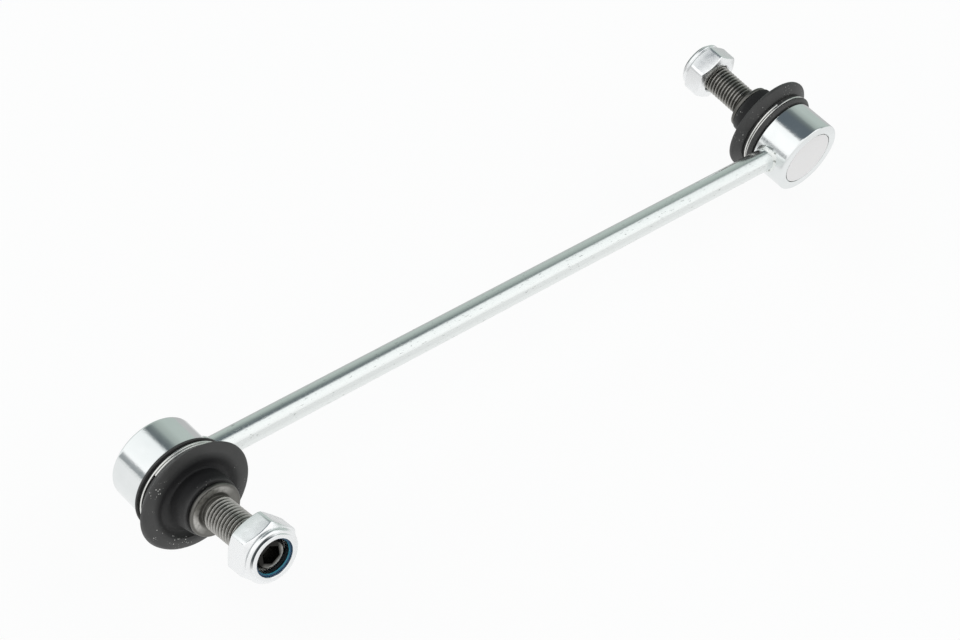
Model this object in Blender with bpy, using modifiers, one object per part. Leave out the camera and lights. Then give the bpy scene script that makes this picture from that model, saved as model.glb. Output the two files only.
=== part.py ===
"""Stabilizer link: a straight rod with a sealed ball joint and a threaded stud at each end.

Frame: the origin is the middle of the rod on its axis. +X runs along the rod from the lower
end to the upper end, the lower stud points along -Y, the upper stud along +Y, and +Z is up.
All sizes are in metres. Each end is modelled in its own frame, whose +Z is the housing's axis
towards the stud and whose zero is the rod's axis.
"""

import math

import bmesh
import bpy
from mathutils import Matrix, Vector

# Link and rod
LINK_LENGTH = 0.300
ROD_DIAMETER = 0.0091
UPPER_CLOCK = math.radians(9.0)
WELD_LEG = 0.0010

# Ball joint
BALL_DIAMETER = 0.016
BALL_RISE = 0.001
POLE_FLAT_DEPTH = 0.0016
STUD_SWING = math.radians(25.0)
LOWER_REST_TILT = math.radians(-8.7)
UPPER_REST_TILT = math.radians(1.8)
MOUTH_MARGIN = math.radians(2.5)
POLE_GAP = 0.0006
SEAT_WALL = 0.0025
SEAT_POLE_HOLE = 0.008
SEAT_SLOT_WIDTH = 0.0012

# Housing
HOUSING_WALL = 0.0044
SHOULDER_HEIGHT = 0.0062
BACK_EDGE_RADIUS = 0.0008
SPIGOT_STEP = 0.0015
SPIGOT_GROOVE_DEPTH = 0.0006
SPIGOT_LIP = 0.0008
COVER_LEDGE = 0.0005
COVER_THICKNESS = 0.0013

# Dust boot, its spring clamp ring and the bush in its neck
BOOT_WALL = 0.0018
BOOT_BEAD_DEPTH = 0.0018
BOOT_BEAD_HEIGHT = 0.0016
BOOT_RIM_REACH = 0.0030
BOOT_RIM_RISE = 0.0035
BOOT_RIM_THICKNESS = 0.0022
BOOT_RIM_WIDTH = 0.0043
BOOT_DISH_DEPTH = 0.0021
BOOT_TIER_DIAMETER = 0.0220
BOOT_TIER_SHOULDER_DROP = 0.0040
BOOT_NECK_DIAMETER = 0.0206
BOOT_NECK_HEIGHT = 0.0050
BOOT_LIP_THICKNESS = 0.0010
WIRE_DIAMETER = 0.0007
WIRE_TURNS = 1.45
WIRE_START = math.radians(150.0)
BUSH_WALL = 0.0013

# Ball stud
NECK_DIAMETER = 0.0096
SEAL_DIAMETER = 0.0130
COLLAR_DIAMETER = 0.0188
COLLAR_THICKNESS = 0.0016
COLLAR_EDGE_RADIUS = 0.0006
COLLAR_FACE_HEIGHT = 0.0256
THREAD_DIAMETER = 0.0118
UNDERCUT_DIAMETER = 0.0102
UNDERCUT_LENGTH = 0.0014
UNDERCUT_FACE_DEPTH = 0.0003
STUD_LENGTH = 0.0290
TIP_CHAMFER = 0.0014
SOCKET_ACROSS_FLATS = 0.006
SOCKET_DEPTH = 0.0065

# Lock nut
NUT_ACROSS_FLATS = 0.019
NUT_HEIGHT = 0.0117
NUT_HEX_HEIGHT = 0.0090
NUT_INSERT_SEAT_HEIGHT = 0.0081
NUT_COLLAR_DIAMETER = 0.0186
NUT_COLLAR_FOOT_DEPTH = 0.0004
NUT_COLLAR_WALL = 0.0010
NUT_LIP_DIAMETER = 0.0166
NUT_LIP_HEIGHT = 0.0006
NUT_LIP_ROUND = 0.0005
NUT_MOUTH_DIAMETER = 0.0134
NUT_WASHER_FACE_DIAMETER = 0.0169
NUT_CHAMFER_ANGLE = math.radians(28.0)
NUT_BORE_CHAMFER = 0.0006
LOWER_NUT_STAND_OFF = 0.0196
UPPER_NUT_STAND_OFF = 0.0180
LOWER_NUT_TURN = math.radians(15.5)
UPPER_NUT_TURN = math.radians(30.0)

# Clearances and mesh resolution
GAP = 0.0003
FILLET_STEPS = 2
BALL_STEP = math.radians(15.0)
HOUSING_STEPS = 32
BOOT_STEPS = 26
STUD_STEPS = 24
ROD_STEPS = 24

# Sizes that follow from the ones above
ball_radius = BALL_DIAMETER / 2
neck_radius = NECK_DIAMETER / 2
seal_radius = SEAL_DIAMETER / 2
rod_radius = ROD_DIAMETER / 2
housing_back = BALL_RISE - ball_radius - POLE_GAP - COVER_THICKNESS
seat_radius = ball_radius + GAP
seat_outside = seat_radius + SEAT_WALL
housing_bore = seat_outside + GAP
housing_radius = housing_bore + HOUSING_WALL
cover_radius = housing_bore + COVER_LEDGE
collar_underside = COLLAR_FACE_HEIGHT - COLLAR_THICKNESS
tip_height = COLLAR_FACE_HEIGHT + STUD_LENGTH
nut_bore_radius = THREAD_DIAMETER / 2 + GAP
nut_collar_foot = NUT_COLLAR_DIAMETER / 2 - NUT_COLLAR_FOOT_DEPTH
nut_pocket_radius = nut_collar_foot - NUT_COLLAR_WALL
spigot_radius = housing_radius - SPIGOT_STEP
groove_radius = spigot_radius - SPIGOT_GROOVE_DEPTH
wire_pitch = WIRE_DIAMETER + GAP
wire_groove_base = SHOULDER_HEIGHT + GAP + BOOT_BEAD_HEIGHT
wire_groove_top = wire_groove_base + WIRE_TURNS * wire_pitch + WIRE_DIAMETER + 2 * GAP
wire_groove_radius = groove_radius + GAP + BOOT_WALL
bead_radius = wire_groove_radius + BOOT_BEAD_DEPTH
rim_radius = bead_radius + BOOT_RIM_REACH
crest_radius = rim_radius - BOOT_RIM_WIDTH
spigot_top = wire_groove_top
rim_height = spigot_top + BOOT_RIM_RISE
boot_top = collar_underside - GAP
neck_grip_base = boot_top - BOOT_NECK_HEIGHT


def clear_scene():
    """Remove every object of the open file."""
    for old in list(bpy.data.objects):
        bpy.data.objects.remove(old, do_unlink=True)


def new_collection(name):
    """Add a collection to the scene."""
    collection = bpy.data.collections.new(name)
    bpy.context.scene.collection.children.link(collection)
    return collection


def new_material(name, colour, roughness, metallic):
    """Make a Principled material."""
    material = bpy.data.materials.new(name)
    material.use_nodes = True
    shader = material.node_tree.nodes["Principled BSDF"]
    shader.inputs["Base Color"].default_value = (*colour, 1.0)
    shader.inputs["Roughness"].default_value = roughness
    shader.inputs["Metallic"].default_value = metallic
    return material


def new_frame(name, location, rotation, parent=None):
    """Add an empty that carries the pieces of one axis."""
    frame = bpy.data.objects.new(name, None)
    frame.empty_display_size = housing_radius
    frame.location = location
    frame.rotation_euler = rotation
    frame.parent = parent
    parts.objects.link(frame)
    return frame


def add_part(name, data, material, parent=None):
    """Add a piece of the link under its parent frame."""
    part = bpy.data.objects.new(name, data)
    part.parent = parent
    part.data.materials.append(material)
    parts.objects.link(part)
    return part


def add_cutter(name, data, parent=None):
    """Add a solid that only shapes others."""
    cutter = bpy.data.objects.new(name, data)
    cutter.parent = parent
    cutter.hide_render = True
    cutter.display_type = "WIRE"
    cutters.objects.link(cutter)
    return cutter


def rounded(corners, closed=True):
    """Points of an outline whose corners (radius, height, fillet) are rounded by arcs."""
    points = []
    last = len(corners) - 1
    for index, (x, z, fillet) in enumerate(corners):
        corner = Vector((x, z))
        if fillet == 0 or (not closed and index in (0, last)):
            points.append(corner)
            continue
        back = Vector(corners[index - 1][:2]) - corner
        ahead = Vector(corners[(index + 1) % len(corners)][:2]) - corner
        half_angle = back.angle(ahead) / 2
        tangent = min(fillet / math.tan(half_angle), 0.45 * back.length, 0.45 * ahead.length)
        start = corner + back.normalized() * tangent
        bisector = (back.normalized() + ahead.normalized()).normalized()
        centre = corner + bisector * (tangent / math.cos(half_angle))
        turn = math.pi - 2 * half_angle
        if back.x * ahead.y - back.y * ahead.x > 0:
            turn = -turn
        spoke = start - centre
        for step in range(FILLET_STEPS + 1):
            angle = turn * step / FILLET_STEPS
            points.append(centre + Matrix.Rotation(angle, 2) @ spoke)
    return points


def sphere_arc(radius, centre_height, start, end):
    """Outline points (radius, height, 0) on a sphere between two angles from its top pole."""
    count = max(2, math.ceil(abs(end - start) / BALL_STEP))
    angles = [start + (end - start) * step / count for step in range(count + 1)]
    return [(radius * math.sin(a), centre_height + radius * math.cos(a), 0) for a in angles]


def outline_mesh(name, points, closed):
    """A wire mesh of an outline in the XZ plane."""
    mesh = bpy.data.meshes.new(name)
    count = len(points)
    edges = [(i, (i + 1) % count) for i in range(count if closed else count - 1)]
    mesh.from_pydata([(p[0], 0.0, p[1]) for p in points], edges, [])
    return mesh


def turn_outline(target, steps):
    """Revolve an outline about its own Z axis."""
    screw = target.modifiers.new("Turn", "SCREW")
    screw.steps = steps
    screw.render_steps = steps
    screw.use_merge_vertices = True
    screw.merge_threshold = 0.00001


def add_turned_part(name, corners, steps, material, parent, closed=True):
    """A turned piece. Its outline runs down the outer side and up the inner side."""
    part = add_part(name, outline_mesh(name, rounded(corners, closed), closed), material, parent)
    turn_outline(part, steps)
    return part


def add_turned_cutter(name, corners, steps, parent, closed=True):
    """A turned solid that only shapes others."""
    cutter = add_cutter(name, outline_mesh(name, rounded(corners, closed), closed), parent)
    turn_outline(cutter, steps)
    return cutter


def prism_mesh(name, radius, height, sides, base=0.0, turn=0.0):
    """A regular prism on the Z axis, from base upwards, with one corner at an angle from +X."""
    mesh = bpy.data.meshes.new(name)
    shape = bmesh.new()
    place = Matrix.Translation((0, 0, base + height / 2)) @ Matrix.Rotation(turn - math.pi / 2, 4, "Z")
    bmesh.ops.create_cone(
        shape, cap_ends=True, segments=sides, radius1=radius, radius2=radius, depth=height, matrix=place
    )
    shape.to_mesh(mesh)
    shape.free()
    return mesh


def box_mesh(name, size, centre):
    """A box of the given size about its centre."""
    mesh = bpy.data.meshes.new(name)
    shape = bmesh.new()
    place = Matrix.Translation(centre) @ Matrix.Diagonal((*size, 1.0))
    bmesh.ops.create_cube(shape, size=1.0, matrix=place)
    shape.to_mesh(mesh)
    shape.free()
    return mesh


def combine(target, cutter, operation="DIFFERENCE"):
    """Shape a piece with a cutter."""
    boolean = target.modifiers.new(cutter.name, "BOOLEAN")
    boolean.operation = operation
    boolean.object = cutter


def settle(part):
    """Turn a piece into its evaluated mesh, with smooth rounds and crisp edges."""
    bpy.context.view_layer.update()
    evaluated = part.evaluated_get(bpy.context.evaluated_depsgraph_get())
    mesh = bpy.data.meshes.new_from_object(evaluated)
    part.modifiers.clear()
    part.data = mesh
    mesh.shade_smooth()
    mesh.set_sharp_from_angle(angle=math.radians(35))


def swept_radius(height):
    """Radius that the stud's neck sweeps at a height above the ball's centre, plus the gap."""
    return height * math.tan(STUD_SWING) + neck_radius / math.cos(STUD_SWING) + GAP


def build_housing_cutter(side, frame):
    """The housing's outside, grown by the gap, which shapes what is welded to it."""
    height = SHOULDER_HEIGHT - housing_back
    mesh = prism_mesh(f"{side}_housing_clearance", housing_radius + GAP, height, HOUSING_STEPS, housing_back)
    return add_cutter(f"{side}_housing_clearance", mesh, frame)


def build_rod(clearances):
    """The straight rod, its ends shaped to the housings that they are welded to."""
    length = LINK_LENGTH - 2 * housing_radius * math.cos(math.asin(rod_radius / housing_radius))
    mesh = prism_mesh("rod", rod_radius, length + 4 * GAP, ROD_STEPS, -length / 2 - 2 * GAP)
    mesh.transform(Matrix.Rotation(math.pi / 2, 4, "Y"))
    rod = add_part("rod", mesh, zinc)
    for clearance in clearances:
        combine(rod, clearance)
    settle(rod)


def build_weld_bead(side, frame, inward, clearance):
    """The ring of weld metal between the rod and the housing."""
    inner = rod_radius + GAP
    face = housing_radius + GAP
    reach = inner + WELD_LEG
    buried = face - math.sqrt(face**2 - reach**2)
    corners = [
        (inner, face + WELD_LEG, 0),
        (inner + 0.5 * WELD_LEG, face + 0.85 * WELD_LEG, 0),
        (inner + 0.9 * WELD_LEG, face + 0.3 * WELD_LEG, 0),
        (reach, face - 0.5 * buried, 0),
        (reach, face - buried - WELD_LEG, 0),
        (inner, face - buried - WELD_LEG, 0),
    ]
    bead = add_turned_part(f"{side}_weld_bead", corners, ROD_STEPS, weld_metal, frame)
    bead.rotation_euler = (0, inward * math.pi / 2, 0)
    combine(bead, clearance)
    settle(bead)


def build_housing(side, frame):
    """The steel cup that holds the ball seat, with a grooved spigot for the boot."""
    pocket_radius = cover_radius + GAP
    ledge = housing_back + COVER_THICKNESS + GAP
    groove_top = spigot_top - SPIGOT_LIP
    corners = [
        (spigot_radius, spigot_top, 0.0003),
        (spigot_radius, groove_top, 0),
        (groove_radius, groove_top, 0),
        (groove_radius, SHOULDER_HEIGHT, 0),
        (housing_radius, SHOULDER_HEIGHT, 0.0004),
        (housing_radius, housing_back, BACK_EDGE_RADIUS),
        (pocket_radius, housing_back, 0),
        (pocket_radius, ledge, 0),
        (housing_bore, ledge, 0),
        (housing_bore, SHOULDER_HEIGHT, 0),
        (swept_radius(SHOULDER_HEIGHT - BALL_RISE), SHOULDER_HEIGHT, 0),
        (swept_radius(spigot_top - BALL_RISE), spigot_top, 0),
    ]
    settle(add_turned_part(f"{side}_housing", corners, HOUSING_STEPS, zinc, frame))


def build_end_cover(side, frame):
    """The disc that closes the housing's back, flush with its face."""
    corners = [
        (0, housing_back + COVER_THICKNESS, 0),
        (cover_radius, housing_back + COVER_THICKNESS, 0),
        (cover_radius, housing_back, 0),
        (0, housing_back, 0),
    ]
    settle(add_turned_part(f"{side}_end_cover", corners, HOUSING_STEPS, zinc, frame, closed=False))


def build_ball_seat(side, frame):
    """The slotted plastic cup that the ball turns in."""
    top = SHOULDER_HEIGHT - GAP
    bottom = housing_back + COVER_THICKNESS + GAP
    mouth = math.asin(neck_radius / ball_radius) + STUD_SWING + MOUTH_MARGIN
    pole = math.pi - math.asin(SEAT_POLE_HOLE / 2 / seat_radius)
    corners = [
        (seat_outside, top, 0),
        (seat_outside, bottom, 0.0005),
        (SEAT_POLE_HOLE / 2, bottom, 0),
        *sphere_arc(seat_radius, BALL_RISE, pole, mouth),
        (swept_radius(top - BALL_RISE), top, 0),
    ]
    seat = add_turned_part(f"{side}_ball_seat", corners, STUD_STEPS, seat_plastic, frame)
    slot_height = top - BALL_RISE + 2 * GAP
    for number, turn in enumerate((0.0, math.pi / 2)):
        size = (2 * housing_bore, SEAT_SLOT_WIDTH, slot_height)
        mesh = box_mesh("seat_slot", size, (0, 0, BALL_RISE + slot_height / 2))
        mesh.transform(Matrix.Rotation(turn + math.radians(20), 4, "Z"))
        combine(seat, add_cutter(f"{side}_seat_slot_{number}", mesh, frame))
    settle(seat)


def build_ball_stud(side, frame):
    """Ball, neck, seal seat, collar and threaded shank in one forging, with a hex socket."""
    pole = math.acos((ball_radius - POLE_FLAT_DEPTH) / ball_radius)
    thread_start = COLLAR_FACE_HEIGHT + UNDERCUT_LENGTH
    undercut_rise = (THREAD_DIAMETER - UNDERCUT_DIAMETER) / 2
    cone_base = BALL_RISE + (spigot_top - BALL_RISE + neck_radius) / math.cos(STUD_SWING)
    cone_base = min(cone_base, neck_grip_base - (seal_radius - neck_radius))
    corners = [
        (0, tip_height, 0),
        (THREAD_DIAMETER / 2 - TIP_CHAMFER, tip_height, 0),
        (THREAD_DIAMETER / 2, tip_height - TIP_CHAMFER, 0),
        (THREAD_DIAMETER / 2, thread_start + undercut_rise, 0),
        (UNDERCUT_DIAMETER / 2, thread_start, 0),
        (UNDERCUT_DIAMETER / 2, COLLAR_FACE_HEIGHT - UNDERCUT_FACE_DEPTH, 0),
        (THREAD_DIAMETER / 2 + GAP, COLLAR_FACE_HEIGHT, 0),
        (COLLAR_DIAMETER / 2, COLLAR_FACE_HEIGHT, COLLAR_EDGE_RADIUS),
        (COLLAR_DIAMETER / 2, collar_underside, COLLAR_EDGE_RADIUS),
        (seal_radius, collar_underside, 0),
        (seal_radius, neck_grip_base, 0),
        (neck_radius, cone_base, 0),
        *sphere_arc(ball_radius, BALL_RISE, math.asin(neck_radius / ball_radius), math.pi - pole),
        (0, BALL_RISE - ball_radius + POLE_FLAT_DEPTH, 0),
    ]
    corners = [(x, z - BALL_RISE, fillet) for x, z, fillet in corners]
    stud = add_turned_part(f"{side}_ball_stud", corners, STUD_STEPS, dark_steel, frame, closed=False)
    corner_radius = SOCKET_ACROSS_FLATS / math.sqrt(3)
    base = tip_height - BALL_RISE - SOCKET_DEPTH
    mesh = prism_mesh(f"{side}_hex_socket", corner_radius, SOCKET_DEPTH + GAP, 6, base)
    combine(stud, add_cutter(f"{side}_hex_socket", mesh, frame))
    settle(stud)


def boot_outline():
    """Corners of the boot's section: outer side from the neck to the bead, then the inside."""
    bead = bead_radius
    rim = rim_radius
    crest = crest_radius
    tier = BOOT_TIER_DIAMETER / 2
    neck = BOOT_NECK_DIAMETER / 2
    bush_outside = seal_radius + 2 * GAP + BUSH_WALL
    rim_top = rim_height + BOOT_RIM_THICKNESS
    dish = rim_top - BOOT_DISH_DEPTH
    shoulder = boot_top - BOOT_TIER_SHOULDER_DROP
    wall = BOOT_WALL
    outer = [
        (neck, boot_top, 0),
        (tier, shoulder, 0),
        (tier, dish, 0.0016),
        (tier + 0.4 * (crest - tier), dish, 0.0012),
        (crest, rim_top, 0.0010),
        (rim - 0.2 * BOOT_RIM_THICKNESS, rim_top - 0.2 * BOOT_RIM_THICKNESS, 0.0010),
        (rim, rim_height, 0.0008),
        (bead, wire_groove_top, 0),
        (wire_groove_radius, wire_groove_top, 0),
        (wire_groove_radius, wire_groove_base, 0),
        (bead, wire_groove_base, 0),
        (bead, SHOULDER_HEIGHT + GAP, 0.0005),
    ]
    inner = [
        (groove_radius + GAP, SHOULDER_HEIGHT + GAP, 0),
        (groove_radius + GAP, spigot_top - SPIGOT_LIP - GAP, 0),
        (spigot_radius + GAP, spigot_top - SPIGOT_LIP - GAP, 0),
        (spigot_radius + GAP, spigot_top + GAP, 0),
        (rim - 1.2 * wall, rim_height - 0.2 * wall, 0),
        (rim - 1.5 * wall, rim_top - wall, 0),
        (crest, rim_top - wall, 0),
        (tier + 0.4 * (crest - tier), dish - wall, 0),
        (tier - wall, dish - wall, 0),
        (tier - wall, neck_grip_base - 0.5 * wall, 0),
        (seal_radius + 2 * GAP, neck_grip_base, 0),
        (seal_radius + 2 * GAP, neck_grip_base + BOOT_LIP_THICKNESS, 0),
        (bush_outside, neck_grip_base + BOOT_LIP_THICKNESS, 0),
        (bush_outside, boot_top - BOOT_LIP_THICKNESS, 0),
        (seal_radius + GAP, boot_top - BOOT_LIP_THICKNESS, 0),
        (seal_radius + GAP, boot_top, 0),
    ]
    return outer + inner


def lean_with_stud(mesh, tilt):
    """Bend a boot about the ball's centre: its bead stays put and its neck follows the stud.

    In between, the middle of each ring of rubber follows the stud more than the ring leans.
    """
    pivot = Vector((0, 0, BALL_RISE))
    for vertex in mesh.vertices:
        share = (vertex.co.z - spigot_top) / (neck_grip_base - spigot_top)
        share = min(max(share, 0.0), 1.0)
        share = share * share * (3 - 2 * share)
        middle = Vector((0, 0, vertex.co.z - BALL_RISE))
        across = Vector((vertex.co.x, vertex.co.y, 0))
        middle.rotate(Matrix.Rotation(tilt * share, 3, "X"))
        across.rotate(Matrix.Rotation(tilt * share**1.5, 3, "X"))
        vertex.co = pivot + middle + across


def build_dust_boot(side, frame, tilt):
    """The rubber boot, from the bead on the housing's spigot to the lip under the collar."""
    boot = add_turned_part(f"{side}_dust_boot", boot_outline(), BOOT_STEPS, rubber, frame)
    settle(boot)
    lean_with_stud(boot.data, tilt)


def build_clamp_ring(side, frame):
    """The coil of spring wire that holds the boot's bead in the housing's groove."""
    curve = bpy.data.curves.new(f"{side}_clamp_ring", "CURVE")
    curve.dimensions = "3D"
    curve.bevel_depth = WIRE_DIAMETER / 2
    curve.bevel_resolution = 2
    curve.use_fill_caps = True
    coil_radius = wire_groove_radius + GAP + WIRE_DIAMETER / 2
    first_height = wire_groove_base + GAP + WIRE_DIAMETER / 2
    count = round(WIRE_TURNS * STUD_STEPS)
    spline = curve.splines.new("POLY")
    spline.points.add(count)
    for index, point in enumerate(spline.points):
        turns = WIRE_TURNS * index / count
        angle = WIRE_START + math.tau * turns
        height = first_height + wire_pitch * turns
        point.co = (coil_radius * math.cos(angle), coil_radius * math.sin(angle), height, 1)
    ring = add_part(f"{side}_clamp_ring", curve, spring_steel, frame)
    ring.data.name = ring.name


def build_neck_bush(side, frame):
    """The plastic bush inside the boot's neck, in which the stud turns."""
    inner = seal_radius + GAP
    outer = inner + BUSH_WALL
    bottom = neck_grip_base + BOOT_LIP_THICKNESS + GAP - BALL_RISE
    top = boot_top - BOOT_LIP_THICKNESS - GAP - BALL_RISE
    corners = [(outer, top, 0), (outer, bottom, 0), (inner, bottom, 0), (inner, top, 0)]
    settle(add_turned_part(f"{side}_neck_bush", corners, STUD_STEPS, seat_plastic, frame))


def build_lock_nut(side, frame, base, turn):
    """The hex nut, with a bulged collar whose lip is crimped over the insert."""
    hex_top = base + NUT_HEX_HEIGHT
    top = base + NUT_HEIGHT
    crease = top - NUT_LIP_HEIGHT
    insert_seat = base + NUT_INSERT_SEAT_HEIGHT
    pocket_top = top - NUT_COLLAR_WALL
    corner_radius = NUT_ACROSS_FLATS / math.sqrt(3)
    washer = NUT_WASHER_FACE_DIAMETER / 2
    slope = math.tan(NUT_CHAMFER_ANGLE)
    wide = corner_radius + GAP
    corners = [
        (NUT_LIP_DIAMETER / 2, top, NUT_LIP_ROUND),
        (NUT_LIP_DIAMETER / 2, crease, 0),
        (NUT_COLLAR_DIAMETER / 2, (crease + hex_top) / 2, 0.0010),
        (nut_collar_foot, hex_top, 0),
        (wide, hex_top - (wide - nut_collar_foot) * slope, 0),
        (wide, base + (wide - washer) * slope, 0),
        (washer, base, 0),
        (nut_bore_radius + NUT_BORE_CHAMFER, base, 0),
        (nut_bore_radius, base + NUT_BORE_CHAMFER, 0),
        (nut_bore_radius, insert_seat, 0),
        (nut_pocket_radius, insert_seat, 0),
        (nut_pocket_radius, pocket_top, 0),
        (NUT_MOUTH_DIAMETER / 2, pocket_top, 0),
        (NUT_MOUTH_DIAMETER / 2, top, 0),
    ]
    envelope = add_turned_cutter(f"{side}_nut_envelope", corners, BOOT_STEPS, frame)
    mesh = prism_mesh(f"{side}_lock_nut", corner_radius, NUT_HEIGHT + 2 * GAP, 6, base - GAP, turn)
    nut = add_part(f"{side}_lock_nut", mesh, bright_zinc, frame)
    combine(nut, envelope, "INTERSECT")
    settle(nut)


def build_nylon_insert(side, frame, base):
    """The nylon ring crimped into the nut, which grips the thread."""
    bottom = base + NUT_INSERT_SEAT_HEIGHT + GAP
    top = base + NUT_HEIGHT - NUT_COLLAR_WALL - GAP
    outer = nut_pocket_radius - GAP
    corners = [
        (outer, top, 0),
        (outer, bottom, 0),
        (nut_bore_radius, bottom, 0),
        (nut_bore_radius, top, 0),
    ]
    settle(add_turned_part(f"{side}_nylon_insert", corners, BOOT_STEPS, nylon, frame))


def build_end(side, centre_x, roll, tilt, stand_off, nut_turn, inward):
    """Everything at one end of the link. Returns the cutter that shapes the rod."""
    housing_axis = new_frame(f"{side}_housing_axis", (centre_x, 0, 0), (roll, 0, 0))
    stud_axis = new_frame(f"{side}_stud_axis", (0, 0, BALL_RISE), (tilt, 0, 0), housing_axis)
    clearance = build_housing_cutter(side, housing_axis)
    build_housing(side, housing_axis)
    build_end_cover(side, housing_axis)
    build_ball_seat(side, housing_axis)
    build_weld_bead(side, housing_axis, inward, clearance)
    build_dust_boot(side, housing_axis, tilt)
    build_clamp_ring(side, housing_axis)
    build_neck_bush(side, stud_axis)
    build_ball_stud(side, stud_axis)
    nut_base = COLLAR_FACE_HEIGHT + stand_off - BALL_RISE
    build_lock_nut(side, stud_axis, nut_base, nut_turn)
    build_nylon_insert(side, stud_axis, nut_base)
    return clearance


clear_scene()
parts = new_collection("stabilizer_link")
cutters = new_collection("cutters")

zinc = new_material("zinc_plate", (0.72, 0.75, 0.76), 0.28, 1.0)
bright_zinc = new_material("bright_zinc", (0.86, 0.88, 0.88), 0.22, 1.0)
weld_metal = new_material("weld_metal", (0.55, 0.58, 0.57), 0.5, 1.0)
dark_steel = new_material("phosphated_steel", (0.16, 0.16, 0.15), 0.42, 0.9)
spring_steel = new_material("spring_steel", (0.75, 0.75, 0.72), 0.25, 1.0)
rubber = new_material("black_rubber", (0.025, 0.025, 0.027), 0.55, 0.0)
seat_plastic = new_material("seat_plastic", (0.80, 0.79, 0.74), 0.45, 0.0)
nylon = new_material("blue_nylon", (0.02, 0.09, 0.20), 0.35, 0.0)

half_length = LINK_LENGTH / 2
clearances = [
    build_end(
        "lower", -half_length, math.pi / 2, LOWER_REST_TILT, LOWER_NUT_STAND_OFF, LOWER_NUT_TURN, 1
    ),
    build_end(
        "upper", half_length, UPPER_CLOCK - math.pi / 2, UPPER_REST_TILT, UPPER_NUT_STAND_OFF, UPPER_NUT_TURN, -1
    ),
]
build_rod(clearances)
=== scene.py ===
"""Stabilizer link: a zinc-plated rod, two sealed ball joints, threaded studs and lock nuts.

Every piece is shaped in millimetres in the frame of its own end of the link, whose Z axis is
the housing's axis towards the stud and whose zero is the rod's axis, and is then set in place.
The capitals below are millimetres too, and heights among them are measured along that Z axis.
"""

import math

import bmesh
import bpy
from mathutils import Matrix, Vector, noise


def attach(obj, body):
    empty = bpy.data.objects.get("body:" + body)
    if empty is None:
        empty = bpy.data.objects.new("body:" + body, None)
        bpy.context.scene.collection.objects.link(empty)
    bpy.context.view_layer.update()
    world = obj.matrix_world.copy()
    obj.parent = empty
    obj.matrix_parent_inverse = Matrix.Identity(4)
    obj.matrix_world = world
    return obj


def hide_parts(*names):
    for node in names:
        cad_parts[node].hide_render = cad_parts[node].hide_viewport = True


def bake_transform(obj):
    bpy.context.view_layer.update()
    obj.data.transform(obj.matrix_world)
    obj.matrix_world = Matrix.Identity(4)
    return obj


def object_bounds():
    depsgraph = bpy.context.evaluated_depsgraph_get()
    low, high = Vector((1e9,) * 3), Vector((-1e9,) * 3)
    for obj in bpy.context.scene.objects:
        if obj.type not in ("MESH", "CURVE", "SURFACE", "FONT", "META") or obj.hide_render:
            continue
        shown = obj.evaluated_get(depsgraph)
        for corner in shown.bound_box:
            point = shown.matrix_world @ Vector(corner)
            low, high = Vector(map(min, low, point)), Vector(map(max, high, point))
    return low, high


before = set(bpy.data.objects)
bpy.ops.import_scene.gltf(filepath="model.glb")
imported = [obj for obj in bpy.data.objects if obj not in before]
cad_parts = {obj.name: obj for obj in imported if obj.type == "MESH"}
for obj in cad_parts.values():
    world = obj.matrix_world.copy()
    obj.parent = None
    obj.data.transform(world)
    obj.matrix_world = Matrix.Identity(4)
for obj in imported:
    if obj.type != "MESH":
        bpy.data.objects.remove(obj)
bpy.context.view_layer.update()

MILLIMETRE = 0.001
MICROMETRE = 0.000001
DEGREE = math.radians(1.0)
IN_THE_WORLD = Matrix.Identity(4)
SHARP_EDGE = 35.0 * DEGREE

CENTRES = 300.0
ROD_RADIUS = 4.55

BALL_RADIUS = 8.0
BALL_RISE = 1.0
BALL_FLAT = 1.6
HOUSING_RADIUS = 15.65
HOUSING_BACK = -8.9
HOUSING_BORE = 11.1
HOUSING_THROAT = 8.0
HOUSING_MOUTH = 10.2
COVER_RADIUS = 11.6
COVER_THICKNESS = 1.3
SHOULDER = 6.45
SPIGOT_RADIUS = 14.0
SPIGOT_GROOVE = 13.4
SPIGOT_TOP = 10.85

WIRE_GROOVE = 15.9
WIRE_GROOVE_BASE = 8.1
WIRE_GROOVE_TOP = 10.85
WIRE_RADIUS = 0.43
WIRE_PITCH = 1.0
WIRE_TURNS = 1.45
WIRE_START = {"lower": -30.0 * DEGREE, "upper": 90.0 * DEGREE}

BEAD_RADIUS = 17.3
DISH_RADIUS = 13.0
DISH_HEIGHT = 14.45
TIER_RADIUS = 10.5
NECK_GRIP = 18.7
NECK_GRIP_RADIUS = 7.1
BUSH_POCKET = 8.4
BOOT_MOUTH = 6.8
BOOT_TOP = 23.7
NECK_RADIUS = 4.8
SEAL_RADIUS = 6.5
COLLAR_RADIUS = 9.4
COLLAR_UNDERSIDE = 24.0
COLLAR_FACE = 25.6
COLLAR_RISE = {"lower": 0.4, "upper": 0.0}
COLLAR_EDGE = 0.55
THREAD_RADIUS = 5.9
THREAD_ROOT = 4.98
THREAD_PITCH = 1.5
UNDERCUT_RADIUS = 5.1
THREAD_START = 27.0
STUD_TIP = 54.6
TIP_CHAMFER = 1.4
SOCKET_FLATS = 6.0
SOCKET_DEPTH = 6.5

NUT_HEIGHT = 11.7
NUT_HEX_HEIGHT = 9.0
NUT_INSERT_SEAT = 8.1
NUT_FLATS = 19.5
NUT_COLLAR = 9.55
NUT_COLLAR_FOOT = 8.9
NUT_LIP = 8.3
NUT_MOUTH = 6.7
NUT_BORE = 6.2
NUT_WASHER = 8.45
NUT_CAVITY = 7.9
NUT_SLOPE = math.tan(28.0 * DEGREE)

FLOOR_DROP = 23.0

# The side of the link, in the world, where painted shade in a nut's groove is deepest and painted
# highlights on a stud's edges are faintest
SHADING_DIRECTION = Vector((-0.64, 0.0, 0.77))

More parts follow.
